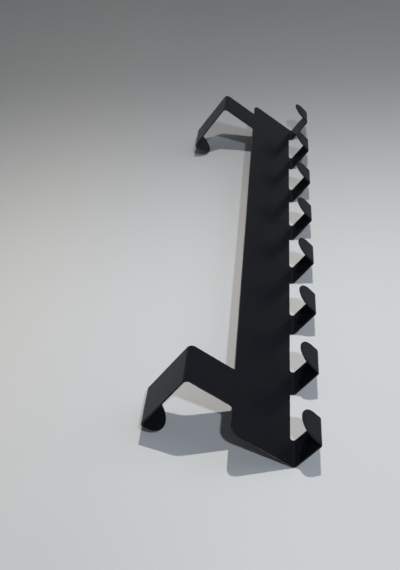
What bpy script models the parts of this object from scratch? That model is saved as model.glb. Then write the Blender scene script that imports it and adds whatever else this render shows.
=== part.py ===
"""Over-the-door hook rack in folded and powder-coated sheet steel.

A long flat face plate carries a row of hooks along its lower edge and two hangers on its upper edge.
Each hook is a strip folded forward and then up. Each hanger is a wider strip that rises from the plate,
folds back over the top of the door and ends in a short tail down the far side. The plate's blank has a
stub at the root of every strip, and a strip meets its stub at the fold line.

Units are metres, +Z is up and +X runs along the rack. -Y is the room side, where the hooks are, and +Y
is the far side of the door. The origin is on the top front edge of the door, midway along the rack: the
back of the plate lies in the plane y = 0, and the undersides of the hangers lie in the plane z = 0.
"""

import math

import bmesh
import bpy
from mathutils import Matrix, Vector

# Sheet
SHEET = 0.0010
EDGE_SOFTENING = 0.00015
SEAM_GAP = 0.0003

# Face plate
PLATE_LENGTH = 0.400
PLATE_HEIGHT = 0.039
PLATE_CORNER_RADIUS = 0.0060

# Hooks
HOOK_COUNT = 8
HOOK_WIDTH = 0.0186
HOOK_ROOT_FILLET = 0.0006
HOOK_FOLD_RADIUS = 0.0015
HOOK_ARM_REACH = 0.0220
HOOK_FINGER_TURN = math.radians(80.0)
HOOK_FINGER_FOLD_RADIUS = 0.0016
HOOK_FINGER_LENGTH = 0.0151

# Door hangers
HANGER_WIDTH = 0.0281
HANGER_INSET = 0.0187
HANGER_ROOT_FILLET = 0.0010
HANGER_RISE = 0.0296
HANGER_TOP_FOLD_RADIUS = 0.0024
DOOR_GAP = 0.0430
HANGER_TAIL_FOLD_RADIUS = 0.0017
HANGER_TAIL_FLARE = math.radians(8.0)
HANGER_TAIL_LENGTH = 0.0157

# A full round at the end of a strip takes nearly half of its width at each corner.
FULL_ROUND_SHARE = 0.497
CIRCULAR_PROFILE_SHARE = 0.5

# Faceting of the arcs
FOLD_STEPS = 6
FILLET_STEPS = 4
CORNER_STEPS = 8
TIP_STEPS = 9
EDGE_STEPS = 1
SHARP_ANGLE = math.radians(35.0)
MERGE_DISTANCE = 0.00001

# Directions seen from the end of the rack are angles from +Y towards +Z.
RIGHT_ANGLE = math.radians(90.0)
HALF_TURN = math.radians(180.0)
UPWARD = RIGHT_ANGLE
DOWNWARD = -RIGHT_ANGLE

# Heights that follow from the sizes above
PLATE_TOP = -HANGER_RISE
PLATE_BOTTOM = PLATE_TOP - PLATE_HEIGHT
SHEET_MIDDLE = -SHEET / 2

# A profile drawn in its own XY plane lies in the rack's YZ plane, with its extrusion along the rack.
PROFILE_TURN = Matrix(((0.0, 0.0, 1.0), (1.0, 0.0, 0.0), (0.0, 1.0, 0.0))).to_4x4()
# A face drawn in its own XY plane lies in the rack's XZ plane, with its extrusion through the sheet.
FACE_TURN = Matrix.Rotation(RIGHT_ANGLE, 4, "X")

# Coating: colour, roughness and metallic value
COATING_COLOUR = (0.0145, 0.0150, 0.0175, 1.0)
COATING_ROUGHNESS = 0.48
COATING_METALLIC = 0.0


def clear_scene():
    """Removes every object, so that the script always starts from an empty scene."""
    for old in list(bpy.data.objects):
        bpy.data.objects.remove(old, do_unlink=True)


def new_collection(name):
    """Makes a collection under the scene's own and returns it."""
    collection = bpy.data.collections.new(name)
    bpy.context.scene.collection.children.link(collection)
    return collection


def coating(name):
    """Makes the powder coating for one piece."""
    material = bpy.data.materials.new(name)
    material.use_nodes = True
    shader = material.node_tree.nodes["Principled BSDF"]
    shader.inputs["Base Color"].default_value = COATING_COLOUR
    shader.inputs["Roughness"].default_value = COATING_ROUGHNESS
    shader.inputs["Metallic"].default_value = COATING_METALLIC
    return material


def arc(centre_x, centre_y, radius, start, end, steps):
    """Points on an arc, both ends included, as (x, y) pairs. Angles are in radians."""
    points = []
    for step in range(steps + 1):
        angle = start + (end - start) * step / steps
        points.append((centre_x + radius * math.cos(angle), centre_y + radius * math.sin(angle)))
    return points


def outline_mesh(name, outline, thickness):
    """Fills a closed outline as a 2D curve, gives it its thickness and returns it as a mesh."""
    curve = bpy.data.curves.new(name, "CURVE")
    curve.dimensions = "2D"
    curve.fill_mode = "BOTH"
    curve.extrude = thickness / 2
    spline = curve.splines.new("POLY")
    spline.points.add(len(outline) - 1)
    for point, (across, up) in zip(spline.points, outline):
        point.co = (across, up, 0.0, 1.0)
    spline.use_cyclic_u = True
    holder = bpy.data.objects.new(name, curve)
    bpy.context.scene.collection.objects.link(holder)
    depsgraph = bpy.context.evaluated_depsgraph_get()
    mesh = bpy.data.meshes.new_from_object(holder.evaluated_get(depsgraph))
    bpy.data.objects.remove(holder, do_unlink=True)
    bpy.data.curves.remove(curve)

    shape = bmesh.new()
    shape.from_mesh(mesh)
    bmesh.ops.remove_doubles(shape, verts=shape.verts, dist=MERGE_DISTANCE)
    shape.to_mesh(mesh)
    shape.free()
    mesh.name = name
    return mesh


def walk_sheet(start, heading, moves):
    """Follows the middle of a folded sheet, seen from the end of the rack.

    A move is (straight length, fold angle, inside radius), and every fold turns clockwise. Returns
    stations of (y, z, heading) along the sheet.
    """
    y, z = start
    stations = [(y, z, heading)]
    for length, fold, inside_radius in moves:
        y += length * math.cos(heading)
        z += length * math.sin(heading)
        stations.append((y, z, heading))
        if fold == 0.0:
            continue
        radius = inside_radius + SHEET / 2
        centre_y = y + radius * math.sin(heading)
        centre_z = z - radius * math.cos(heading)
        for step in range(1, FOLD_STEPS + 1):
            turned = heading - fold * step / FOLD_STEPS
            stations.append(
                (centre_y - radius * math.sin(turned), centre_z + radius * math.cos(turned), turned)
            )
        y, z, heading = stations[-1]
    return stations


def sheet_outline(stations):
    """Both sides of the sheet along its stations, as one closed outline."""
    left = []
    right = []
    for y, z, heading in stations:
        across = (-math.sin(heading) * SHEET / 2, math.cos(heading) * SHEET / 2)
        left.append((y + across[0], z + across[1]))
        right.append((y - across[0], z - across[1]))
    return left + right[::-1]


def round_tip(mesh, stations, radius):
    """Rounds the two corners at the free end of a strip, in the plane of its last leg."""
    y, z, _ = stations[-1]
    tip = Vector((y, z))
    shape = bmesh.new()
    shape.from_mesh(mesh)
    corners = []
    for edge in shape.edges:
        near_tip = all((vertex.co.xy - tip).length < SHEET for vertex in edge.verts)
        across_sheet = abs(edge.verts[0].co.z - edge.verts[1].co.z) < MERGE_DISTANCE
        if near_tip and across_sheet:
            corners.append(edge)
    bmesh.ops.bevel(
        shape,
        geom=corners,
        offset=radius,
        offset_type="OFFSET",
        segments=TIP_STEPS,
        profile=CIRCULAR_PROFILE_SHARE,
        affect="EDGES",
    )
    shape.to_mesh(mesh)
    shape.free()


def soften_edges(piece):
    """Gives the cut edges of a piece the small round that the coating leaves."""
    softening = piece.modifiers.new("Softened edges", "BEVEL")
    softening.width = EDGE_SOFTENING
    softening.segments = EDGE_STEPS
    softening.limit_method = "ANGLE"
    softening.angle_limit = SHARP_ANGLE


def add_piece(name, mesh, placement, collection):
    """Places a mesh as a named piece with its own coating."""
    piece = bpy.data.objects.new(name, mesh)
    piece.matrix_world = placement
    mesh.materials.append(coating(name + "_coating"))
    mesh.shade_smooth()
    mesh.set_sharp_from_angle(angle=SHARP_ANGLE)
    soften_edges(piece)
    collection.objects.link(piece)
    return piece


def hook_centres():
    """X of every hook, the outer two flush with the ends of the plate."""
    first = (HOOK_WIDTH - PLATE_LENGTH) / 2
    pitch = (PLATE_LENGTH - HOOK_WIDTH) / (HOOK_COUNT - 1)
    return [first + index * pitch for index in range(HOOK_COUNT)]


def hanger_centres():
    """X of the left and the right hanger."""
    offset = PLATE_LENGTH / 2 - HANGER_INSET - HANGER_WIDTH / 2
    return [-offset, offset]


def lower_edge():
    """The plate's lower edge from left to right, with a stub at each hook."""
    points = []
    stub_end = PLATE_BOTTOM - HOOK_ROOT_FILLET
    centres = hook_centres()
    for centre in centres:
        left = centre - HOOK_WIDTH / 2
        right = centre + HOOK_WIDTH / 2
        if centre == centres[0]:
            points.append((left, stub_end))
        else:
            beside = left - HOOK_ROOT_FILLET
            points += arc(beside, stub_end, HOOK_ROOT_FILLET, RIGHT_ANGLE, 0.0, FILLET_STEPS)
        if centre == centres[-1]:
            points.append((right, stub_end))
        else:
            beside = right + HOOK_ROOT_FILLET
            points += arc(beside, stub_end, HOOK_ROOT_FILLET, HALF_TURN, RIGHT_ANGLE, FILLET_STEPS)
    return points


def upper_edge():
    """The plate's upper edge from right to left, with its rounded corners and a stub at each hanger."""
    points = []
    corner_x = PLATE_LENGTH / 2 - PLATE_CORNER_RADIUS
    corner_z = PLATE_TOP - PLATE_CORNER_RADIUS
    stub_end = PLATE_TOP + HANGER_ROOT_FILLET
    points += arc(corner_x, corner_z, PLATE_CORNER_RADIUS, 0.0, RIGHT_ANGLE, CORNER_STEPS)
    for centre in reversed(hanger_centres()):
        right = centre + HANGER_WIDTH / 2 + HANGER_ROOT_FILLET
        left = centre - HANGER_WIDTH / 2 - HANGER_ROOT_FILLET
        points += arc(right, stub_end, HANGER_ROOT_FILLET, -RIGHT_ANGLE, -HALF_TURN, FILLET_STEPS)
        points += arc(left, stub_end, HANGER_ROOT_FILLET, 0.0, -RIGHT_ANGLE, FILLET_STEPS)
    points += arc(-corner_x, corner_z, PLATE_CORNER_RADIUS, RIGHT_ANGLE, HALF_TURN, CORNER_STEPS)
    return points


def build_face_plate(collection):
    """The flat plate, with a stub for every hook and hanger."""
    mesh = outline_mesh("face_plate", lower_edge() + upper_edge(), SHEET)
    placement = Matrix.Translation((0.0, SHEET_MIDDLE, 0.0)) @ FACE_TURN
    return add_piece("face_plate", mesh, placement, collection)


def hook_stations():
    """The middle of a hook's sheet: the fold under the plate, the arm, the second fold and the finger."""
    start = (SHEET_MIDDLE, PLATE_BOTTOM - HOOK_ROOT_FILLET - SEAM_GAP)
    finger_setback = HOOK_FINGER_FOLD_RADIUS * math.tan(HOOK_FINGER_TURN / 2)
    arm = HOOK_ARM_REACH - HOOK_FOLD_RADIUS - finger_setback
    finger = HOOK_FINGER_LENGTH - finger_setback
    moves = [
        (0.0, RIGHT_ANGLE, HOOK_FOLD_RADIUS),
        (arm, HOOK_FINGER_TURN, HOOK_FINGER_FOLD_RADIUS),
        (finger, 0.0, 0.0),
    ]
    return walk_sheet(start, DOWNWARD, moves)


def hanger_stations():
    """The middle of a hanger's sheet: the riser, the leg over the door and the flared tail."""
    start_z = PLATE_TOP + HANGER_ROOT_FILLET + SEAM_GAP
    tail_turn = RIGHT_ANGLE - HANGER_TAIL_FLARE
    tail_setback = HANGER_TAIL_FOLD_RADIUS * math.tan(tail_turn / 2)
    riser = -HANGER_TOP_FOLD_RADIUS - start_z
    over_door = DOOR_GAP - HANGER_TOP_FOLD_RADIUS - tail_setback
    tail = HANGER_TAIL_LENGTH - tail_setback
    moves = [
        (riser, RIGHT_ANGLE, HANGER_TOP_FOLD_RADIUS),
        (over_door, tail_turn, HANGER_TAIL_FOLD_RADIUS),
        (tail, 0.0, 0.0),
    ]
    return walk_sheet((SHEET_MIDDLE, start_z), UPWARD, moves)


def build_strip(name, stations, width, centre_x, collection):
    """A folded strip with a full-round end, standing at its place along the rack."""
    mesh = outline_mesh(name, sheet_outline(stations), width)
    round_tip(mesh, stations, width * FULL_ROUND_SHARE)
    placement = Matrix.Translation((centre_x, 0.0, 0.0)) @ PROFILE_TURN
    return add_piece(name, mesh, placement, collection)


def build_hooks(collection):
    """The row of hooks, numbered from the left."""
    stations = hook_stations()
    for number, centre_x in enumerate(hook_centres(), start=1):
        build_strip(f"hook_{number}", stations, HOOK_WIDTH, centre_x, collection)


def build_door_hangers(collection):
    """The two hangers that carry the rack on the door."""
    stations = hanger_stations()
    for side, centre_x in zip(("left", "right"), hanger_centres()):
        build_strip(f"door_hanger_{side}", stations, HANGER_WIDTH, centre_x, collection)


def main():
    """Builds the whole rack."""
    clear_scene()
    rack = new_collection("over_door_hook_rack")
    build_face_plate(rack)
    build_hooks(rack)
    build_door_hangers(rack)


main()
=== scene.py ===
"""Dresses the over-the-door hook rack and lays it on a table for its picture.

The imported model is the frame. Its faceted solids give way to one coated sheet: the face plate, the row of
hooks and the door hangers are cut as flat blanks with rounded rims, and Geometry Nodes fold the strips and
set them out along the plate. The rack lies on its lower fold and on the tips of its tails, so the table
leans under it, because the frame keeps the rack upright as it hangs on a door.

Units are metres. +X runs along the rack, +Y through the door and +Z up.
"""

from __future__ import annotations

import logging
import math
from dataclasses import dataclass, field
from enum import Enum
from typing import Union

import bmesh
import bpy
from mathutils import Matrix, Quaternion, Vector


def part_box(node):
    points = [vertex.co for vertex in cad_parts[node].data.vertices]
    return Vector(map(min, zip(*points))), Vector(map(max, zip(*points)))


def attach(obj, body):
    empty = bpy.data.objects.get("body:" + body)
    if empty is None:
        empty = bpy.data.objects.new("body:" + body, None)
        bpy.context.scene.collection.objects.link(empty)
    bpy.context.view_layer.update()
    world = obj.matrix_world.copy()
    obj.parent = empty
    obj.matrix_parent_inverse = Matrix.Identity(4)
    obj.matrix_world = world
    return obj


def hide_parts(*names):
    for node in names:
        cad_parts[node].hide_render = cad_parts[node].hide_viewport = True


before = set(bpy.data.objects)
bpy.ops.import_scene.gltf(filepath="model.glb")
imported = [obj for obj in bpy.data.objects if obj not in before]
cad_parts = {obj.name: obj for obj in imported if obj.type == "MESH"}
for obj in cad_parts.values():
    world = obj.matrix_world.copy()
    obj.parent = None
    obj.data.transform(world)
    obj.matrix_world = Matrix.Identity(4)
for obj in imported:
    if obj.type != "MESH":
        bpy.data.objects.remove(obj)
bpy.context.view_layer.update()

LOG = logging.getLogger("hook_rack")
BODY = "root"
EDGE_ATTRIBUTE = "edge"
RIGHT_ANGLE = math.radians(90.0)
HALF_TURN = math.radians(180.0)

# Places of the colour sockets on a Mix node, whose sockets share their names among its data types.
MIX_LOW = 6
MIX_HIGH = 7
MIX_RESULT = 2

Point = tuple[float, float]
Colour = tuple[float, float, float]
Value = Union[float, bpy.types.NodeSocket]


class SheetSide(Enum):
    """The two edges of the plate that carry strips, with the way a strip's blank is turned there."""

    LOWER = Matrix(((-1, 0, 0), (0, 0, -1), (0, -1, 0)))
    UPPER = Matrix(((-1, 0, 0), (0, 0, 1), (0, 1, 0)))


class Maths(Enum):
    """The sums that the node trees are made of."""

    ADD = "ADD"
    SUBTRACT = "SUBTRACT"
    MULTIPLY = "MULTIPLY"
    DIVIDE = "DIVIDE"
    LEAST = "MINIMUM"
    MOST = "MAXIMUM"
    SINE = "SINE"
    COSINE = "COSINE"


class Blending(Enum):
    """The ways in which two colours are mixed."""

    CROSSFADE = "MIX"
    TINT = "MULTIPLY"


class Rise(Enum):
    """The ways in which a ramp goes from 0 to 1."""

    EVEN = "LINEAR"
    SOFT = "SMOOTHSTEP"


class NodeBench:
    """Adds and joins nodes in one node tree."""

    def __init__(self, tree: bpy.types.NodeTree) -> None:
        """Starts work on a tree.

        Args:
            tree: The node tree that new nodes go into.
        """
        self.tree = tree

    def add(self, kind: str, **settings: object) -> bpy.types.Node:
        """Adds one node.

        Args:
            kind: Blender's type name of the node.
            settings: Properties of the node to set.

        Returns:
            The new node.
        """
        node = self.tree.nodes.new(kind)
        for name, value in settings.items():
            setattr(node, name, value)
        return node

    def feed(self, target: bpy.types.NodeSocket, value: Value | tuple) -> None:
        """Links a socket to an input, or sets the input's own value.

        Args:
            target: The input socket.
            value: A socket to link from, or a plain value.
        """
        if isinstance(value, bpy.types.NodeSocket):
            self.tree.links.new(value, target)
        else:
            target.default_value = value

    def sum(self, operation: Maths, first: Value, second: Value | None = None) -> bpy.types.NodeSocket:
        """Adds one Math node.

        Args:
            operation: The sum to do.
            first: The first number, or the socket that gives it.
            second: The second number, where the sum has one.

        Returns:
            The node's result.
        """
        node = self.add("ShaderNodeMath", operation=operation.value)
        self.feed(node.inputs[0], first)
        if second is not None:
            self.feed(node.inputs[1], second)
        return node.outputs[0]

    def between(self, share: Value, low: Value, high: Value) -> bpy.types.NodeSocket:
        """Adds a node that goes from low to high as the share goes from 0 to 1.

        Args:
            share: Where to stand between the two.
            low: The result at 0.
            high: The result at 1.

        Returns:
            The node's result.
        """
        node = self.add("ShaderNodeMapRange")
        self.feed(node.inputs["Value"], share)
        self.feed(node.inputs["To Min"], low)
        self.feed(node.inputs["To Max"], high)
        return node.outputs["Result"]

    def ramp(self, value: Value, start: float, end: float, rise: Rise) -> bpy.types.NodeSocket:
        """Adds a node that goes from 0 to 1 as a value goes from one level to another.

        Args:
            value: The value to read.
            start: The level up to which the result is 0.
            end: The level from which the result is 1.
            rise: How the result rises in between.

        Returns:
            The node's result.
        """
        node = self.add("ShaderNodeMapRange", interpolation_type=rise.value)
        self.feed(node.inputs["Value"], value)
        self.feed(node.inputs["From Min"], start)
        self.feed(node.inputs["From Max"], end)
        return node.outputs["Result"]

    def blend(
        self, share: Value, low: Value | tuple, high: Value | tuple, how: Blending = Blending.CROSSFADE
    ) -> bpy.types.NodeSocket:
        """Adds a node that mixes two colours.

        Args:
            share: Where to stand between the two.
            low: The colour at 0.
            high: The colour at 1, or the tint laid on the first at 1.
            how: The way in which the two are mixed.

        Returns:
            The mixed colour.
        """
        node = self.add("ShaderNodeMix", data_type="RGBA", blend_type=how.value)
        self.feed(node.inputs["Factor"], share)
        self.feed(node.inputs[MIX_LOW], low)
        self.feed(node.inputs[MIX_HIGH], high)
        return node.outputs[MIX_RESULT]


def opaque(colour: Colour) -> tuple[float, float, float, float]:
    """A colour with full alpha, as a colour socket wants it."""
    return (*colour, 1.0)


def declare(tree: bpy.types.NodeTree, inputs: dict[str, str], outputs: dict[str, str]) -> None:
    """Gives a node tree its named inputs and outputs.

    Args:
        tree: The tree.
        inputs: Socket type of each input by name.
        outputs: Socket type of each output by name.
    """
    for name, kind in inputs.items():
        tree.interface.new_socket(name, in_out="INPUT", socket_type=kind)
    for name, kind in outputs.items():
        tree.interface.new_socket(name, in_out="OUTPUT", socket_type=kind)


def oval(centre: Point, radii: Point, start: float, end: float, steps: int) -> list[Point]:
    """Points on part of an oval, with both its ends.

    Args:
        centre: Centre of the oval.
        radii: Half its width and half its height.
        start: Angle of the first point, in radians.
        end: Angle of the last point, in radians.
        steps: Number of chords.

    Returns:
        The points in order.
    """
    angles = [start + (end - start) * step / steps for step in range(steps + 1)]
    return [(centre[0] + radii[0] * math.cos(a), centre[1] + radii[1] * math.sin(a)) for a in angles]


def arc(centre: Point, radius: float, start: float, end: float, steps: int) -> list[Point]:
    """Points on an arc, with both its ends.

    Args:
        centre: Centre of the arc.
        radius: Radius of the arc.
        start: Angle of the first point, in radians.
        end: Angle of the last point, in radians.
        steps: Number of chords.

    Returns:
        The points in order.
    """
    return oval(centre, (radius, radius), start, end, steps)


@dataclass(frozen=True)
class SheetStock:
    """The steel sheet and the round that the coating leaves on its cut rims."""

    thickness: float
    rim_round: float = 0.00022
    rim_steps: int = 4
    circular_profile_share: float = 0.5

    def blank(self, outline: list[Point], joint_heights: tuple[float, ...]) -> bmesh.types.BMesh:
        """Cuts a flat blank, with its middle in the plane z = 0, and rounds its rims.

        Args:
            outline: Closed outline, anticlockwise, in the blank's own x and y.
            joint_heights: The y of each end that meets another blank and stays square.

        Returns:
            The blank, with the rim's share of roundness in its edge layer.
        """
        shape = bmesh.new()
        base = [shape.verts.new((x, y, -self.thickness / 2)) for x, y in outline]
        face = shape.faces.new(base)
        raised = bmesh.ops.extrude_face_region(shape, geom=[face])["geom"]
        top = [item for item in raised if isinstance(item, bmesh.types.BMVert)]
        bmesh.ops.translate(shape, verts=top, vec=(0.0, 0.0, self.thickness))
        bmesh.ops.recalc_face_normals(shape, faces=shape.faces)
        rims = [edge for edge in shape.edges if self._is_rim(edge, joint_heights)]
        bmesh.ops.bevel(
            shape,
            geom=rims,
            offset=self.rim_round,
            offset_type="OFFSET",
            segments=self.rim_steps,
            profile=self.circular_profile_share,
            affect="EDGES",
        )
        layer = shape.verts.layers.float.new(EDGE_ATTRIBUTE)
        for vertex in shape.verts:
            depth = self.thickness / 2 - abs(vertex.co.z)
            vertex[layer] = min(depth / self.rim_round, 1.0)
        return shape

    def _is_rim(self, edge: bmesh.types.BMEdge, joint_heights: tuple[float, ...]) -> bool:
        """Tells whether an edge lies along the rim and not on a joint with another blank.

        Args:
            edge: An edge of the blank.
            joint_heights: The y of each end that meets another blank.

        Returns:
            True for an edge to round.
        """
        first, second = (vertex.co for vertex in edge.verts)
        flat = abs(first.z - second.z) < self.rim_round
        on_joint = any(
            abs(first.y - height) < self.rim_round and abs(second.y - height) < self.rim_round
            for height in joint_heights
        )
        return flat and not on_joint


@dataclass(frozen=True)
class Fold:
    """One fold of a strip: the flat length before it, its angle and its inside radius."""

    straight: float
    angle: float
    inside_radius: float
    steps: int

    def arc_length(self, sheet: float) -> float:
        """Length of the fold along the middle of the sheet."""
        return (self.inside_radius + sheet / 2) * self.angle


def setback(angle: float, inside_radius: float) -> float:
    """Distance from a fold's sharp inside corner to where its arc begins."""
    return inside_radius * math.tan(angle / 2)


@dataclass(frozen=True)
class FoldTree:
    """The Geometry Nodes group that bends a flat sheet about one line across it."""

    name: str = "Fold sheet"

    def build(self) -> bpy.types.NodeTree:
        """Builds the group.

        Returns:
            A group that takes a sheet lying in XY and folds what lies beyond Line towards +Z.
        """
        tree = bpy.data.node_groups.new(self.name, "GeometryNodeTree")
        floats = ("Line", "Inside Radius", "Angle", "Sheet")
        sockets = {"Geometry": "NodeSocketGeometry"} | {name: "NodeSocketFloat" for name in floats}
        declare(tree, sockets, {"Geometry": "NodeSocketGeometry"})
        bench = NodeBench(tree)
        given = bench.add("NodeGroupInput").outputs
        place = bench.add("ShaderNodeSeparateXYZ")
        bench.feed(place.inputs[0], bench.add("GeometryNodeInputPosition").outputs[0])
        across, along, through = place.outputs

        half_sheet = bench.sum(Maths.DIVIDE, given["Sheet"], 2.0)
        radius = bench.sum(Maths.ADD, given["Inside Radius"], half_sheet)
        beyond = bench.sum(Maths.SUBTRACT, along, given["Line"])
        turned = bench.sum(Maths.MOST, bench.sum(Maths.DIVIDE, beyond, radius), 0.0)
        turned = bench.sum(Maths.LEAST, turned, given["Angle"])
        arc_length = bench.sum(Maths.MULTIPLY, radius, given["Angle"])
        past_arc = bench.sum(Maths.MOST, bench.sum(Maths.SUBTRACT, beyond, arc_length), 0.0)
        before = bench.sum(Maths.LEAST, beyond, 0.0)
        own_radius = bench.sum(Maths.SUBTRACT, radius, through)
        sine = bench.sum(Maths.SINE, turned)
        cosine = bench.sum(Maths.COSINE, turned)

        new_along = bench.sum(Maths.ADD, given["Line"], before)
        new_along = bench.sum(Maths.ADD, new_along, bench.sum(Maths.MULTIPLY, own_radius, sine))
        new_along = bench.sum(Maths.ADD, new_along, bench.sum(Maths.MULTIPLY, past_arc, cosine))
        new_through = bench.sum(Maths.SUBTRACT, radius, bench.sum(Maths.MULTIPLY, own_radius, cosine))
        new_through = bench.sum(Maths.ADD, new_through, bench.sum(Maths.MULTIPLY, past_arc, sine))

        joined = bench.add("ShaderNodeCombineXYZ")
        for target, value in zip(joined.inputs, (across, new_along, new_through)):
            bench.feed(target, value)
        moved = bench.add("GeometryNodeSetPosition")
        bench.feed(moved.inputs["Geometry"], given["Geometry"])
        bench.feed(moved.inputs["Position"], joined.outputs[0])
        bench.feed(bench.add("NodeGroupOutput").inputs["Geometry"], moved.outputs[0])
        return tree


@dataclass(frozen=True)
class StripRowTree:
    """The Geometry Nodes tree that folds a blank twice and sets it out in a row along the plate."""

    fold_group: bpy.types.NodeTree
    name: str = "Row of folded strips"
    fold_inputs: tuple[str, ...] = ("Line", "Inside Radius", "Angle")

    def build(self) -> bpy.types.NodeTree:
        """Builds the tree.

        Returns:
            The tree, with named inputs for both folds, the row and the finish.
        """
        tree = bpy.data.node_groups.new(self.name, "GeometryNodeTree")
        sockets = {"Geometry": "NodeSocketGeometry", "Sheet": "NodeSocketFloat"}
        for order in ("First", "Second"):
            sockets |= {f"{order} {name}": "NodeSocketFloat" for name in self.fold_inputs}
        sockets |= {"Turn": "NodeSocketRotation", "Start": "NodeSocketVector", "Pitch": "NodeSocketVector"}
        sockets |= {"Count": "NodeSocketInt", "Finish": "NodeSocketMaterial"}
        declare(tree, sockets, {"Geometry": "NodeSocketGeometry"})
        bench = NodeBench(tree)
        given = bench.add("NodeGroupInput").outputs

        sheet = given["Geometry"]
        for order in ("Second", "First"):
            fold = bench.add("GeometryNodeGroup", node_tree=self.fold_group)
            bench.feed(fold.inputs["Geometry"], sheet)
            bench.feed(fold.inputs["Sheet"], given["Sheet"])
            for name in self.fold_inputs:
                bench.feed(fold.inputs[name], given[f"{order} {name}"])
            sheet = fold.outputs["Geometry"]

        turned = bench.add("GeometryNodeTransform")
        bench.feed(turned.inputs["Geometry"], sheet)
        bench.feed(turned.inputs["Rotation"], given["Turn"])
        line = bench.add("GeometryNodeMeshLine", mode="OFFSET")
        bench.feed(line.inputs["Count"], given["Count"])
        bench.feed(line.inputs["Start Location"], given["Start"])
        bench.feed(line.inputs["Offset"], given["Pitch"])
        row = bench.add("GeometryNodeInstanceOnPoints")
        bench.feed(row.inputs["Points"], line.outputs["Mesh"])
        bench.feed(row.inputs["Instance"], turned.outputs["Geometry"])
        solid = bench.add("GeometryNodeRealizeInstances")
        bench.feed(solid.inputs["Geometry"], row.outputs["Instances"])
        coated = bench.add("GeometryNodeSetMaterial")
        bench.feed(coated.inputs["Geometry"], solid.outputs["Geometry"])
        bench.feed(coated.inputs["Material"], given["Finish"])
        bench.feed(bench.add("NodeGroupOutput").inputs["Geometry"], coated.outputs["Geometry"])
        return tree


def set_inputs(modifier: bpy.types.NodesModifier, values: dict[str, object]) -> None:
    """Sets a Geometry Nodes modifier's inputs by their sockets' identifiers.

    Args:
        modifier: The modifier, before its object is first evaluated.
        values: Value of each input by the socket's name.
    """
    for item in modifier.node_group.interface.items_tree:
        if item.item_type == "SOCKET" and item.in_out == "INPUT" and item.name in values:
            modifier[item.identifier] = values[item.name]


def finished_mesh(holder: bpy.types.Object, name: str) -> bpy.types.Mesh:
    """Turns an object and its modifiers into one plain mesh with even shading, and removes the object.

    Args:
        holder: The object to finish.
        name: Name of the new mesh.

    Returns:
        The plain mesh.
    """
    holder.modifiers.new("Even normals", "WEIGHTED_NORMAL")
    depsgraph = bpy.context.evaluated_depsgraph_get()
    mesh = bpy.data.meshes.new_from_object(holder.evaluated_get(depsgraph))
    bpy.data.objects.remove(holder, do_unlink=True)
    mesh.name = name
    return mesh


def new_holder(name: str, shape: bmesh.types.BMesh, place: Matrix) -> bpy.types.Object:
    """Puts a blank in the scene at the origin, with its place in its mesh.

    Args:
        name: Name for the object and its mesh.
        shape: The blank, which is freed.
        place: Where the blank goes.

    Returns:
        The object that holds it.
    """
    mesh = bpy.data.meshes.new(name)
    bmesh.ops.transform(shape, matrix=place, verts=shape.verts)
    for face in shape.faces:
        face.smooth = True
    shape.to_mesh(mesh)
    shape.free()
    holder = bpy.data.objects.new(name, mesh)
    bpy.context.scene.collection.objects.link(holder)
    return holder


def hang_in_frame(piece: bpy.types.Object, nodes: list[str]) -> None:
    """Lets a piece stand for its CAD nodes and ride on the rack.

    Args:
        piece: The dressed piece.
        nodes: The CAD nodes that it replaces.
    """
    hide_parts(*nodes)
    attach(piece, BODY)


@dataclass(frozen=True)
class FineGrain:
    """A shader group for the small relief and the uneven gloss of a coated surface."""

    name: str = "Fine grain"
    broad_scale_share: float = 0.11
    detail: float = 3.0

    def build(self) -> bpy.types.NodeTree:
        """Builds the group.

        Returns:
            A group that turns Object coordinates into a height and a slow mottle, both from 0 to 1.
        """
        tree = bpy.data.node_groups.new(self.name, "ShaderNodeTree")
        inputs = {"Vector": "NodeSocketVector", "Grains per Metre": "NodeSocketFloat"}
        declare(tree, inputs, {"Height": "NodeSocketFloat", "Mottle": "NodeSocketFloat"})
        bench = NodeBench(tree)
        given = bench.add("NodeGroupInput").outputs
        fine = bench.add("ShaderNodeTexNoise")
        bench.feed(fine.inputs["Vector"], given["Vector"])
        bench.feed(fine.inputs["Scale"], given["Grains per Metre"])
        bench.feed(fine.inputs["Detail"], self.detail)
        broad = bench.add("ShaderNodeTexNoise")
        bench.feed(broad.inputs["Vector"], given["Vector"])
        slow = bench.sum(Maths.MULTIPLY, given["Grains per Metre"], self.broad_scale_share)
        bench.feed(broad.inputs["Scale"], slow)
        bench.feed(broad.inputs["Detail"], self.detail)
        result = bench.add("NodeGroupOutput").inputs
        bench.feed(result["Height"], fine.outputs["Fac"])
        bench.feed(result["Mottle"], broad.outputs["Fac"])
        return tree


@dataclass(frozen=True)
class WornAndHighlitRim:
    """A shader group for the lighter cut rims, broken up by noise: partly a thinner, worn coat and partly a
    painted highlight.
    """

    name: str = "Worn and highlit rim"
    patches_per_metre: float = 260.0
    patch_detail: float = 4.0
    lighter_from: float = 0.30
    lighter_to: float = 0.65

    def build(self) -> bpy.types.NodeTree:
        """Builds the group.

        Returns:
            A group that turns Object coordinates into a mask of the lighter rim, partly worn coat and partly
            painted highlight.
        """
        tree = bpy.data.node_groups.new(self.name, "ShaderNodeTree")
        declare(tree, {"Vector": "NodeSocketVector"}, {"Mask": "NodeSocketFloat"})
        bench = NodeBench(tree)
        given = bench.add("NodeGroupInput").outputs
        rim = bench.add("ShaderNodeAttribute", attribute_name=EDGE_ATTRIBUTE)
        patches = bench.add("ShaderNodeTexNoise")
        bench.feed(patches.inputs["Vector"], given["Vector"])
        bench.feed(patches.inputs["Scale"], self.patches_per_metre)
        bench.feed(patches.inputs["Detail"], self.patch_detail)
        spread = bench.ramp(patches.outputs["Fac"], self.lighter_from, self.lighter_to, Rise.EVEN)
        mask = bench.sum(Maths.MULTIPLY, rim.outputs["Fac"], spread)
        bench.feed(bench.add("NodeGroupOutput").inputs["Mask"], mask)
        return tree


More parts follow.
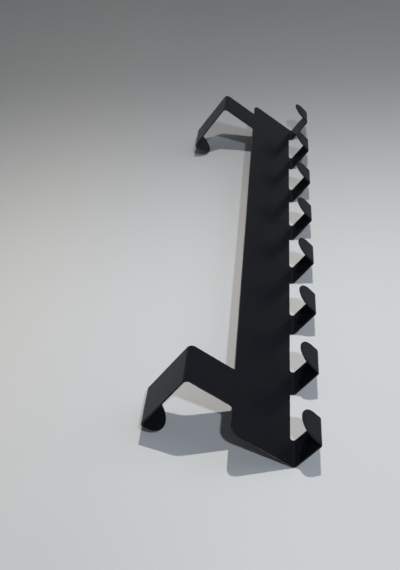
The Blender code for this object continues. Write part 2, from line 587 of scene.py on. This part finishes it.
@dataclass(frozen=True)
class PowderCoat:
    """The satin black powder coating, with a faint orange peel and lighter rims that are partly a worn coat and
    partly a painted highlight.
    """

    grain: bpy.types.NodeTree
    worn_and_highlit_rim: bpy.types.NodeTree
    name: str = "powder_coat_black"
    colour: Colour = (0.0108, 0.0113, 0.0142)
    thick_colour: Colour = (0.0092, 0.0097, 0.0126)
    # Rim colour: a thinner, worn coat, made lighter still as a painted highlight.
    worn_and_highlit_colour: Colour = (0.026, 0.0265, 0.028)
    roughness_smooth: float = 0.20
    roughness_dull: float = 0.30
    specular: float = 0.045
    grains_per_metre: float = 1100.0
    relief: float = 0.000012
    relief_strength: float = 0.35

    def build(self) -> bpy.types.Material:
        """Builds the material.

        Returns:
            The coating.
        """
        material = bpy.data.materials.new(self.name)
        material.use_nodes = True
        bench = NodeBench(material.node_tree)
        shader = material.node_tree.nodes["Principled BSDF"]
        place = bench.add("ShaderNodeTexCoord").outputs["Object"]
        grain = bench.add("ShaderNodeGroup", node_tree=self.grain)
        bench.feed(grain.inputs["Vector"], place)
        bench.feed(grain.inputs["Grains per Metre"], self.grains_per_metre)
        wear = bench.add("ShaderNodeGroup", node_tree=self.worn_and_highlit_rim)
        bench.feed(wear.inputs["Vector"], place)

        mottle = grain.outputs["Mottle"]
        coat = bench.blend(mottle, opaque(self.thick_colour), opaque(self.colour))
        # The rims turn lighter: partly worn coat, partly painted highlight.
        colour = bench.blend(wear.outputs["Mask"], coat, opaque(self.worn_and_highlit_colour))
        bench.feed(shader.inputs["Base Color"], colour)
        bench.feed(shader.inputs["Roughness"], bench.between(mottle, self.roughness_smooth, self.roughness_dull))
        shader.inputs["Specular IOR Level"].default_value = self.specular
        bump = bench.add("ShaderNodeBump")
        bump.inputs["Strength"].default_value = self.relief_strength
        bump.inputs["Distance"].default_value = self.relief
        bench.feed(bump.inputs["Height"], grain.outputs["Height"])
        bench.feed(shader.inputs["Normal"], bump.outputs["Normal"])
        return material


@dataclass(frozen=True)
class TableTop:
    """The pale, faintly glossy table, with painted shade that darkens it towards its far end and painted warm
    light that makes it warmer and lighter to the left.
    """

    grain: bpy.types.NodeTree
    name: str = "table_top"
    near_colour: Colour = (0.686, 0.679, 0.680)
    # Painted shade: the table darkens to this colour towards its far end.
    far_shade_colour: Colour = (0.359, 0.361, 0.366)
    far_shade_from: float = -0.08
    far_shade_to: float = 0.38
    # Painted warm light: the left side turns warmer and lighter.
    warm_light_tint: Colour = (1.07, 1.03, 0.985)
    warm_light_from: float = 0.02
    warm_light_to: float = 0.14
    roughness_smooth: float = 0.46
    roughness_dull: float = 0.54
    specular: float = 0.35
    grains_per_metre: float = 320.0

    def build(self) -> bpy.types.Material:
        """Builds the material.

        Returns:
            A finish that is seen from above only and lets the lamp under the table light the rack's back, so
            that the rack shows from below and behind too.
        """
        material = bpy.data.materials.new(self.name)
        material.use_nodes = True
        nodes = material.node_tree.nodes
        bench = NodeBench(material.node_tree)
        shader = nodes["Principled BSDF"]
        place = bench.add("ShaderNodeTexCoord").outputs["Object"]
        grain = bench.add("ShaderNodeGroup", node_tree=self.grain)
        bench.feed(grain.inputs["Vector"], place)
        bench.feed(grain.inputs["Grains per Metre"], self.grains_per_metre)

        spot = bench.add("ShaderNodeSeparateXYZ")
        bench.feed(spot.inputs[0], bench.add("ShaderNodeTexCoord").outputs["UV"])
        # Painted shade: darker towards the far end.
        far = bench.ramp(spot.outputs["X"], self.far_shade_from, self.far_shade_to, Rise.SOFT)
        # Painted warm light: warmer and lighter towards the left.
        left = bench.ramp(spot.outputs["Y"], self.warm_light_from, self.warm_light_to, Rise.SOFT)
        colour = bench.blend(far, opaque(self.near_colour), opaque(self.far_shade_colour))
        colour = bench.blend(left, colour, opaque(self.warm_light_tint), Blending.TINT)
        bench.feed(shader.inputs["Base Color"], colour)
        gloss = bench.between(grain.outputs["Mottle"], self.roughness_smooth, self.roughness_dull)
        bench.feed(shader.inputs["Roughness"], gloss)
        shader.inputs["Specular IOR Level"].default_value = self.specular

        clear = bench.add("ShaderNodeBsdfTransparent")
        facing = bench.add("ShaderNodeNewGeometry")
        path = bench.add("ShaderNodeLightPath")
        unseen = bench.sum(Maths.MOST, facing.outputs["Backfacing"], path.outputs["Is Shadow Ray"])
        either = bench.add("ShaderNodeMixShader")
        for target, source in zip(either.inputs, (unseen, shader.outputs["BSDF"], clear.outputs["BSDF"])):
            bench.feed(target, source)
        bench.feed(nodes["Material Output"].inputs["Surface"], either.outputs["Shader"])
        return material


@dataclass
class FacePlate:
    """The flat plate and the stub at the root of every strip."""

    stock: SheetStock
    hooks: list[tuple[float, float]]
    hangers: list[tuple[float, float]]
    corner_radius: float = 0.0060
    hook_fillet: Point = (0.0017, 0.0009)
    hanger_fillet: float = 0.0010
    closed_seam: float = 0.0003
    corner_steps: int = 24
    fillet_steps: int = 8
    low: Vector = field(init=False)
    high: Vector = field(init=False)

    def __post_init__(self) -> None:
        """Reads the plate's ends and heights from the frame, and closes the seam above the hooks."""
        self.low, self.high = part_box("face_plate")
        self.low.z -= self.closed_seam

    def _lower_edge(self) -> list[Point]:
        """Traces the lower edge, with square outer corners where the end hooks are flush.

        Returns:
            The points from left to right.
        """
        points: list[Point] = []
        end_z = self.low.z
        reach = self.hook_fillet[0]
        for left, right in self.hooks:
            if left > self.low.x + reach:
                beside = (left - reach, end_z)
                points += oval(beside, self.hook_fillet, RIGHT_ANGLE, 0.0, self.fillet_steps)
            else:
                points.append((left, end_z))
            if right < self.high.x - reach:
                beside = (right + reach, end_z)
                points += oval(beside, self.hook_fillet, HALF_TURN, RIGHT_ANGLE, self.fillet_steps)
            else:
                points.append((right, end_z))
        return points

    def _upper_edge(self) -> list[Point]:
        """Traces the upper edge, with rounded plate corners.

        Returns:
            The points from right to left.
        """
        end_z = self.high.z
        size = self.hanger_fillet
        corner_z = end_z - size - self.corner_radius
        corner_right = self.high.x - self.corner_radius
        corner_left = self.low.x + self.corner_radius
        points = arc((corner_right, corner_z), self.corner_radius, 0.0, RIGHT_ANGLE, self.corner_steps)
        for left, right in reversed(self.hangers):
            points += arc((right + size, end_z), size, -RIGHT_ANGLE, -HALF_TURN, self.fillet_steps)
            points += arc((left - size, end_z), size, 0.0, -RIGHT_ANGLE, self.fillet_steps)
        points += arc((corner_left, corner_z), self.corner_radius, RIGHT_ANGLE, HALF_TURN, self.corner_steps)
        return points

    def make(self, coat: bpy.types.Material) -> bpy.types.Object:
        """Cuts the plate, coats it and hangs it in the frame.

        Args:
            coat: The finish.

        Returns:
            The dressed plate.
        """
        outline = self._lower_edge() + self._upper_edge()
        shape = self.stock.blank(outline, (self.low.z, self.high.z))
        upright = Matrix.Translation((0.0, -self.stock.thickness / 2, 0.0)) @ Matrix.Rotation(RIGHT_ANGLE, 4, "X")
        holder = new_holder("plate_blank", shape, upright)
        mesh = finished_mesh(holder, "coated_plate")
        mesh.materials.append(coat)
        piece = bpy.data.objects.new("coated_plate", mesh)
        bpy.context.scene.collection.objects.link(piece)
        hang_in_frame(piece, ["face_plate"])
        return piece


@dataclass
class StripRow:
    """A row of alike strips that leave one edge of the plate, each folded twice."""

    stock: SheetStock
    tree: bpy.types.NodeTree
    name: str
    nodes: list[str]
    side: SheetSide
    folds: tuple[Fold, Fold]
    last_straight: float
    tip_steps: int = 48
    spans: list[tuple[float, float]] = field(init=False)

    def __post_init__(self) -> None:
        """Reads where the strips stand from the frame."""
        boxes = [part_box(node) for node in self.nodes]
        self.spans = sorted((low.x, high.x) for low, high in boxes)

    @property
    def width(self) -> float:
        """Width of one strip."""
        return self.spans[0][1] - self.spans[0][0]

    def _lines(self) -> list[float]:
        """Works out where each fold starts.

        Returns:
            The two places, measured along the flat blank.
        """
        first, second = self.folds
        start = first.straight
        after = start + first.arc_length(self.stock.thickness) + second.straight
        return [start, after]

    def _blank(self) -> bmesh.types.BMesh:
        """Cuts one strip's blank, with a full-round tip and fine steps across each fold.

        Returns:
            The flat blank.
        """
        lines = self._lines()
        half = self.width / 2
        end = lines[1] + self.folds[1].arc_length(self.stock.thickness) + self.last_straight
        outline = [(-half, 0.0), (half, 0.0)]
        outline += arc((0.0, end - half), half, 0.0, HALF_TURN, self.tip_steps)
        shape = self.stock.blank(outline, (0.0,))
        for line, fold in zip(lines, self.folds):
            length = fold.arc_length(self.stock.thickness)
            for step in range(fold.steps + 1):
                cut = (0.0, line + length * step / fold.steps, 0.0)
                everything = shape.verts[:] + shape.edges[:] + shape.faces[:]
                bmesh.ops.bisect_plane(shape, geom=everything, plane_co=cut, plane_no=(0.0, 1.0, 0.0))
        return shape

    def make(self, coat: bpy.types.Material, root_height: float) -> bpy.types.Object:
        """Cuts, folds and coats the row and hangs it in the frame.

        Args:
            coat: The finish.
            root_height: Height of the seam where the strips leave the plate.

        Returns:
            The dressed row.
        """
        holder = new_holder(f"{self.name}_blank", self._blank(), Matrix.Identity(4))
        modifier = holder.modifiers.new("Folds", "NODES")
        modifier.node_group = self.tree
        centres = [sum(span) / 2 for span in self.spans]
        pitch = (centres[-1] - centres[0]) / (len(centres) - 1)
        values: dict[str, object] = {
            "Sheet": self.stock.thickness,
            "Turn": tuple(self.side.value.to_euler()),
            "Start": (centres[0], -self.stock.thickness / 2, root_height),
            "Pitch": (pitch, 0.0, 0.0),
            "Count": len(centres),
            "Finish": coat,
        }
        for order, line, fold in zip(("First", "Second"), self._lines(), self.folds):
            values[f"{order} Line"] = line
            values[f"{order} Inside Radius"] = fold.inside_radius
            values[f"{order} Angle"] = fold.angle
        set_inputs(modifier, values)
        mesh = finished_mesh(holder, self.name)
        piece = bpy.data.objects.new(self.name, mesh)
        bpy.context.scene.collection.objects.link(piece)
        hang_in_frame(piece, self.nodes)
        return piece


@dataclass(frozen=True)
class HookShape:
    """Sizes of one hook, measured between the sharp inside corners of its folds."""

    fold_radius: float = 0.0015
    arm_reach: float = 0.0220
    finger_turn: float = math.radians(80.0)
    finger_fold_radius: float = 0.0016
    finger_length: float = 0.0151
    fold_steps: int = 20

    def folds(self) -> tuple[Fold, Fold]:
        """Works out the fold under the plate and the fold up into the finger.

        Returns:
            The two folds in order.
        """
        arm = self.arm_reach - self.fold_radius - setback(self.finger_turn, self.finger_fold_radius)
        first = Fold(0.0, RIGHT_ANGLE, self.fold_radius, self.fold_steps)
        second = Fold(arm, self.finger_turn, self.finger_fold_radius, self.fold_steps)
        return first, second

    def finger(self) -> float:
        """Flat length of the finger."""
        return self.finger_length - setback(self.finger_turn, self.finger_fold_radius)


@dataclass(frozen=True)
class HangerShape:
    """Sizes of one door hanger, measured between the sharp inside corners of its folds."""

    top_fold_radius: float = 0.0024
    door_gap: float = 0.0430
    tail_turn: float = math.radians(82.0)
    tail_fold_radius: float = 0.0017
    tail_length: float = 0.0157
    fold_steps: int = 24

    def folds(self, root_height: float) -> tuple[Fold, Fold]:
        """Works out the fold over the door's edge and the fold down into the tail.

        Args:
            root_height: Height of the seam where the riser leaves the plate.

        Returns:
            The two folds in order.
        """
        riser = -self.top_fold_radius - root_height
        leg = self.door_gap - self.top_fold_radius - setback(self.tail_turn, self.tail_fold_radius)
        first = Fold(riser, RIGHT_ANGLE, self.top_fold_radius, self.fold_steps)
        second = Fold(leg, self.tail_turn, self.tail_fold_radius, self.fold_steps)
        return first, second

    def tail(self) -> float:
        """Flat length of the tail."""
        return self.tail_length - setback(self.tail_turn, self.tail_fold_radius)

    def tip(self, sheet: float) -> Vector:
        """Works out the outer corner of the tail's tip.

        Args:
            sheet: Thickness of the sheet.

        Returns:
            The corner's y and z.
        """
        along = Vector((math.cos(self.tail_turn), -math.sin(self.tail_turn)))
        outward = Vector((math.sin(self.tail_turn), math.cos(self.tail_turn)))
        return Vector((self.door_gap, 0.0)) + along * self.tail_length + outward * sheet


@dataclass(frozen=True)
class Lamp:
    """One lamp, placed by the direction in which it stands from the table, above it or below.

    Its strength is the brightness that it alone gives a white table top.
    """

    name: str
    bearing: float
    height: float
    distance: float
    size: float
    strength: float
    colour: Colour

    def place(self, table: Table) -> None:
        """Hangs the lamp in its direction from the table and aims it at the rack.

        Args:
            table: The table that the directions are measured on.
        """
        flat = table.along * math.cos(self.bearing) + table.across * math.sin(self.bearing)
        towards = flat * math.cos(self.height) + table.up * math.sin(self.height)
        data = bpy.data.lights.new(self.name, "AREA")
        data.shape = "DISK"
        data.size = self.size
        data.color = self.colour
        facing = abs(math.sin(self.height))
        data.energy = self.strength * (math.pi * self.distance) ** 2 / facing
        lamp = bpy.data.objects.new(self.name, data)
        lamp.location = table.centre + towards * self.distance
        lamp.rotation_euler = towards.to_track_quat("Z", "Y").to_euler()
        lamp.visible_camera = False
        bpy.context.scene.collection.objects.link(lamp)


@dataclass
class Table:
    """The table top under the rack, which touches its lower fold and the tips of its tails."""

    fold_centre: Vector
    fold_radius: float
    tail_tip: Vector
    reach: float = 6.0
    along: Vector = field(init=False)
    across: Vector = field(init=False)
    up: Vector = field(init=False)
    centre: Vector = field(init=False)

    def __post_init__(self) -> None:
        """Works out how the table leans from the two lines that the rack rests on."""
        span = self.tail_tip - self.fold_centre
        lean = math.atan2(span.y, span.x) + math.asin(self.fold_radius / span.length)
        self.along = Vector((1.0, 0.0, 0.0))
        self.across = Vector((0.0, math.cos(lean), math.sin(lean)))
        self.up = Vector((0.0, -math.sin(lean), math.cos(lean)))
        self.centre = Vector((0.0, *self.tail_tip))

    def make(self, finish: bpy.types.Material) -> bpy.types.Object:
        """Lays the table top.

        Args:
            finish: The finish.

        Returns:
            The table top.
        """
        shape = bmesh.new()
        bmesh.ops.create_grid(shape, x_segments=1, y_segments=1, size=self.reach)
        metres = shape.loops.layers.uv.new("metres")
        for face in shape.faces:
            for corner in face.loops:
                corner[metres].uv = corner.vert.co.xy
        axes = Matrix((self.along, self.across, self.up)).transposed().to_4x4()
        bmesh.ops.transform(shape, matrix=Matrix.Translation(self.centre) @ axes, verts=shape.verts)
        mesh = bpy.data.meshes.new("table_top")
        shape.to_mesh(mesh)
        shape.free()
        mesh.materials.append(finish)
        top = bpy.data.objects.new("table_top", mesh)
        bpy.context.scene.collection.objects.link(top)
        return top


@dataclass(frozen=True)
class Viewpoint:
    """The camera, by its place, the bearing it looks along, its tilt and its roll."""

    place: tuple[float, float, float] = (-0.49064, -0.25889, 0.14149)
    bearing: float = math.radians(-56.643)
    height: float = math.radians(16.744)
    roll: float = math.radians(-58.225)
    lens: float = 51.5214
    sensor: float = 36.0

    def make(self) -> bpy.types.Object:
        """Sets up the camera and makes it the scene's own.

        Returns:
            The camera.
        """
        data = bpy.data.cameras.new("camera")
        data.lens = self.lens
        data.sensor_width = self.sensor
        camera = bpy.data.objects.new("camera", data)
        level = math.cos(self.height)
        back = Vector((math.sin(self.bearing) * level, -math.cos(self.bearing) * level, math.sin(self.height)))
        aim = (-back).to_track_quat("-Z", "Y")
        roll = Quaternion((0.0, 0.0, 1.0), self.roll)
        camera.location = self.place
        camera.rotation_euler = (aim @ roll).to_euler()
        bpy.context.scene.collection.objects.link(camera)
        bpy.context.scene.camera = camera
        return camera


@dataclass(frozen=True)
class Studio:
    """The table, the lamps, the room's own light and the camera."""

    lamps: tuple[Lamp, ...]
    room_light: Colour = (0.083, 0.088, 0.094)
    backdrop: Colour = (0.60, 0.605, 0.61)
    shaded_backdrop: Colour = (0.22, 0.225, 0.235)
    shaded_from: float = -0.5
    pale_from: float = 0.4

    def make(self, table: Table, finish: bpy.types.Material) -> None:
        """Sets the stage round the rack.

        Args:
            table: The table that the rack lies on.
            finish: The table's finish.
        """
        table.make(finish)
        for lamp in self.lamps:
            lamp.place(table)
        self._light_room()
        Viewpoint().make()
        bpy.context.scene.view_settings.view_transform = "Standard"

    def _light_room(self) -> None:
        """Gives the room a dim even light and a pale backdrop, which is shaded on the side that faces the rack."""
        world = bpy.data.worlds.new("room")
        world.use_nodes = True
        bpy.context.scene.world = world
        bench = NodeBench(world.node_tree)
        background = world.node_tree.nodes["Background"]
        path = bench.add("ShaderNodeLightPath").outputs
        seen = bench.sum(Maths.MOST, path["Is Camera Ray"], path["Is Transmission Ray"])
        seen = bench.sum(Maths.MOST, seen, path["Is Glossy Ray"])
        direction = bench.add("ShaderNodeSeparateXYZ")
        bench.feed(direction.inputs[0], bench.add("ShaderNodeTexCoord").outputs["Generated"])
        pale = bench.ramp(direction.outputs["Y"], self.shaded_from, self.pale_from, Rise.SOFT)
        wall = bench.blend(pale, opaque(self.shaded_backdrop), opaque(self.backdrop))
        bench.feed(background.inputs["Color"], bench.blend(seen, opaque(self.room_light), wall))


def report(piece: bpy.types.Object) -> None:
    """Logs one finished piece."""
    LOG.info("%s: %d faces", piece.name, len(piece.data.polygons))


def studio_lamps() -> tuple[Lamp, ...]:
    """Lists the lamps round the table, of which the first two throw the double shadow.

    Returns:
        The overhead, side, fill and rear lamps.
    """
    overhead = Lamp(
        name="overhead_lamp",
        bearing=math.radians(-113.1),
        height=math.radians(78.4),
        distance=0.60,
        size=0.011,
        strength=0.515,
        colour=(1.0, 0.985, 0.93),
    )
    side = Lamp(
        name="side_lamp",
        bearing=math.radians(-158.0),
        height=math.radians(46.7),
        distance=2.32,
        size=0.08,
        strength=0.26,
        colour=(0.79, 0.90, 1.0),
    )
    fill = Lamp(
        name="fill_lamp",
        bearing=math.radians(-90.0),
        height=math.radians(40.0),
        distance=1.60,
        size=1.20,
        strength=0.10,
        colour=(0.82, 0.91, 1.0),
    )
    rear = Lamp(
        name="rear_lamp",
        bearing=0.0,
        height=-RIGHT_ANGLE,
        distance=1.60,
        size=1.20,
        strength=1.00,
        colour=(1.0, 1.0, 1.0),
    )
    return overhead, side, fill, rear


def main() -> None:
    """Builds the dressed rack and its stage."""
    logging.basicConfig(level=logging.INFO)
    hook_nodes = sorted(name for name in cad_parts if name.startswith("hook_"))
    hanger_nodes = sorted(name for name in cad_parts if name.startswith("door_hanger_"))
    plate_low, plate_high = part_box("face_plate")
    stock = SheetStock(plate_high.y - plate_low.y)

    grain = FineGrain().build()
    coat = PowderCoat(grain, WornAndHighlitRim().build()).build()
    row_tree = StripRowTree(FoldTree().build()).build()

    hook = HookShape()
    hanger = HangerShape()
    hooks = StripRow(stock, row_tree, "coated_hooks", hook_nodes, SheetSide.LOWER, hook.folds(), hook.finger())
    hanger_folds = hanger.folds(plate_high.z)
    hangers = StripRow(
        stock, row_tree, "coated_door_hangers", hanger_nodes, SheetSide.UPPER, hanger_folds, hanger.tail()
    )
    plate = FacePlate(stock, hooks.spans, hangers.spans)
    report(plate.make(coat))
    report(hooks.make(coat, plate.low.z))
    report(hangers.make(coat, plate.high.z))

    outer_radius = hook.fold_radius + stock.thickness
    fold_centre = Vector((-outer_radius, plate.low.z))
    table = Table(fold_centre, outer_radius, hanger.tip(stock.thickness))
    Studio(studio_lamps()).make(table, TableTop(grain).build())


if __name__ == "__main__":
    main()
